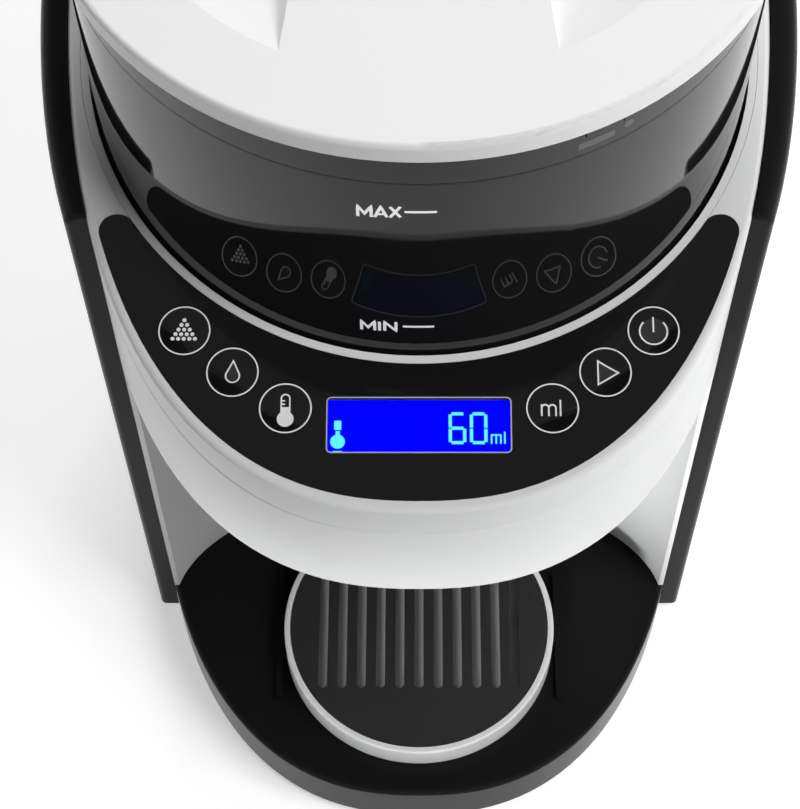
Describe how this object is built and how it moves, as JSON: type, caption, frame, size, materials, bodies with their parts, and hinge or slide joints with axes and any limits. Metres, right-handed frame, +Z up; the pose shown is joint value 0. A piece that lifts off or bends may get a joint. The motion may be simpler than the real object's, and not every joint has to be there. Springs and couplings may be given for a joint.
{
  "type": "baby formula maker",
  "caption": "Worktop milk formula maker: round smoke powder container on a white head with a sloping black button panel, open bottle bay, black shell and rear water tank.",
  "frame": {"origin": "on the worktop, under the middle of the body's oval plan; the powder container's axis is 31 mm in front of it", "axes": "+Z up; the bottle bay and the control panel face -Y; +X is to the right seen from the front"},
  "size_m": [0.205, 0.319, 0.333],
  "materials": {
    "white_plastic": "semi-gloss moulded plastic",
    "lid_white": "semi-gloss moulded plastic",
    "black_gloss": "high-gloss black",
    "button_black": "high-gloss black, white symbol",
    "smoke_plastic": "smoke-tinted transparent plastic",
    "natural_plastic": "satin moulded plastic",
    "clear_plastic": "clear plastic",
    "grey_plastic": "matt moulded plastic",
    "black_plastic": "matt moulded plastic",
    "rubber": "matt",
    "silicone": "translucent white silicone",
    "steel": "plain",
    "board": "green solder mask",
    "chips": "component bodies",
    "display": "lit blue screen",
    "window": "clear polished"
  },
  "bodies": {
    "machine": {"rubber_feet": "rubber", "base_plate": "black_plastic", "base_screws": "steel", "base_shell": "white_plastic", "body_shell": "black_gloss", "front_shell": "white_plastic", "recess_liner": "black_gloss", "head_shell": "white_plastic", "head_screws": "steel", "top_cover": "white_plastic", "container_seat": "white_plastic", "powder_chute": "natural_plastic", "water_nozzle": "natural_plastic", "control_panel": "black_gloss", "display_window": "window", "lcd_module": "display", "control_board": "board", "tact_switches": "chips", "gear_shaft": "steel", "gear_motor": "steel", "motor_screws": "steel", "funnel_rails": "white_plastic", "tank_socket": "grey_plastic", "socket_seal": "silicone", "inlet_hose": "silicone", "pump_hose": "silicone", "nozzle_hose": "silicone", "water_pump": "black_plastic", "water_heater": "steel", "main_board": "board", "board_components": "chips", "cord_gland": "black_plastic"},
    "container": {"powder_container": "smoke_plastic", "container_base": "black_plastic", "powder_scraper": "natural_plastic"},
    "dosing_rotor": {"powder_wheel": "natural_plastic", "stirring_wheel": "natural_plastic", "wheel_coupler": "natural_plastic"},
    "seal": {"lid_seal": "silicone"},
    "lid": {"container_lid": "lid_white"},
    "gear": {"drive_gear": "natural_plastic"},
    "pinion": {"motor_pinion": "natural_plastic"},
    "funnel": {"mixing_funnel": "clear_plastic", "funnel_cover": "clear_plastic"},
    "stand": {"bottle_stand": "white_plastic"},
    "grid": {"drip_grid": "black_plastic"},
    "tank": {"water_tank": "smoke_plastic", "tank_hinge_pin": "steel", "valve_cage": "natural_plastic", "valve_spring": "steel"},
    "tank_cover": {"tank_lid": "black_gloss"},
    "valve": {"tank_valve": "natural_plastic", "valve_seal": "silicone"},
    "powder_button": {"powder_button": "button_black"},
    "water_button": {"water_button": "button_black"},
    "temperature_button": {"temperature_button": "button_black"},
    "volume_button": {"volume_button": "button_black"},
    "start_button": {"start_button": "button_black"},
    "power_button": {"power_button": "button_black"}
  },
  "joints": [
    {"name": "powder_press", "type": "slide", "parent": "machine", "child": "powder_button", "axis": [0, 0.1743, -0.9847], "range_m": [0, 0.0008], "stiffness_N_per_m": 400, "springref_m": -0.0008},
    {"name": "water_press", "type": "slide", "parent": "machine", "child": "water_button", "axis": [0, 0.1743, -0.9847], "range_m": [0, 0.0008], "stiffness_N_per_m": 400, "springref_m": -0.0008},
    {"name": "temperature_press", "type": "slide", "parent": "machine", "child": "temperature_button", "axis": [0, 0.1743, -0.9847], "range_m": [0, 0.0008], "stiffness_N_per_m": 400, "springref_m": -0.0008},
    {"name": "volume_press", "type": "slide", "parent": "machine", "child": "volume_button", "axis": [0, 0.1743, -0.9847], "range_m": [0, 0.0008], "stiffness_N_per_m": 400, "springref_m": -0.0008},
    {"name": "start_press", "type": "slide", "parent": "machine", "child": "start_button", "axis": [0, 0.1743, -0.9847], "range_m": [0, 0.0008], "stiffness_N_per_m": 400, "springref_m": -0.0008},
    {"name": "power_press", "type": "slide", "parent": "machine", "child": "power_button", "axis": [0, 0.1743, -0.9847], "range_m": [0, 0.0008], "stiffness_N_per_m": 400, "springref_m": -0.0008},
    {"name": "container_lift", "type": "slide", "parent": "machine", "child": "container", "axis": [0, 0, 1], "range_m": [0, 0.13]},
    {"name": "rotor_turn", "type": "hinge", "parent": "container", "child": "dosing_rotor", "pos_m": [0, -0.031, 0.22], "axis": [0, 0, 1], "continuous": true},
    {"name": "gear_turn", "type": "hinge", "parent": "machine", "child": "gear", "pos_m": [0, -0.031, 0.195], "axis": [0, 0, 1], "continuous": true},
    {"name": "pinion_turn", "type": "hinge", "parent": "machine", "child": "pinion", "pos_m": [0, 0.009, 0.195], "axis": [0, 0, 1], "continuous": true},
    {"name": "seal_lift", "type": "slide", "parent": "container", "child": "seal", "axis": [0, 0, 1], "range_m": [0, 0.05]},
    {"name": "lid_turn", "type": "hinge", "parent": "seal", "child": "lid", "pos_m": [0, -0.031, 0.32], "axis": [0, 0, 1], "range_deg": [0, 30]},
    {"name": "funnel_slide", "type": "slide", "parent": "machine", "child": "funnel", "axis": [0, -1, 0], "range_m": [0, 0.075]},
    {"name": "stand_slide", "type": "slide", "parent": "machine", "child": "stand", "axis": [0, -1, 0], "range_m": [0, 0.05]},
    {"name": "grid_lift", "type": "slide", "parent": "stand", "child": "grid", "axis": [0, 0, 1], "range_m": [0, 0.02]},
    {"name": "tank_lift", "type": "slide", "parent": "machine", "child": "tank", "axis": [0, 0, 1], "range_m": [0, 0.08]},
    {"name": "tank_lid_open", "type": "hinge", "parent": "tank", "child": "tank_cover", "pos_m": [0, 0.14749, 0.28676], "axis": [-1, 0, 0], "range_deg": [0, 90]},
    {"name": "valve_open", "type": "slide", "parent": "tank", "child": "valve", "axis": [0, 0, 1], "range_m": [0, 0.004], "stiffness_N_per_m": 200, "springref_m": -0.006, "deforming": ["valve_spring"]}
  ],
  "couplings": [
    {"joint": "gear_turn", "follows": "rotor_turn", "ratio": 1},
    {"joint": "pinion_turn", "follows": "rotor_turn", "ratio": -3.5714}
  ]
}
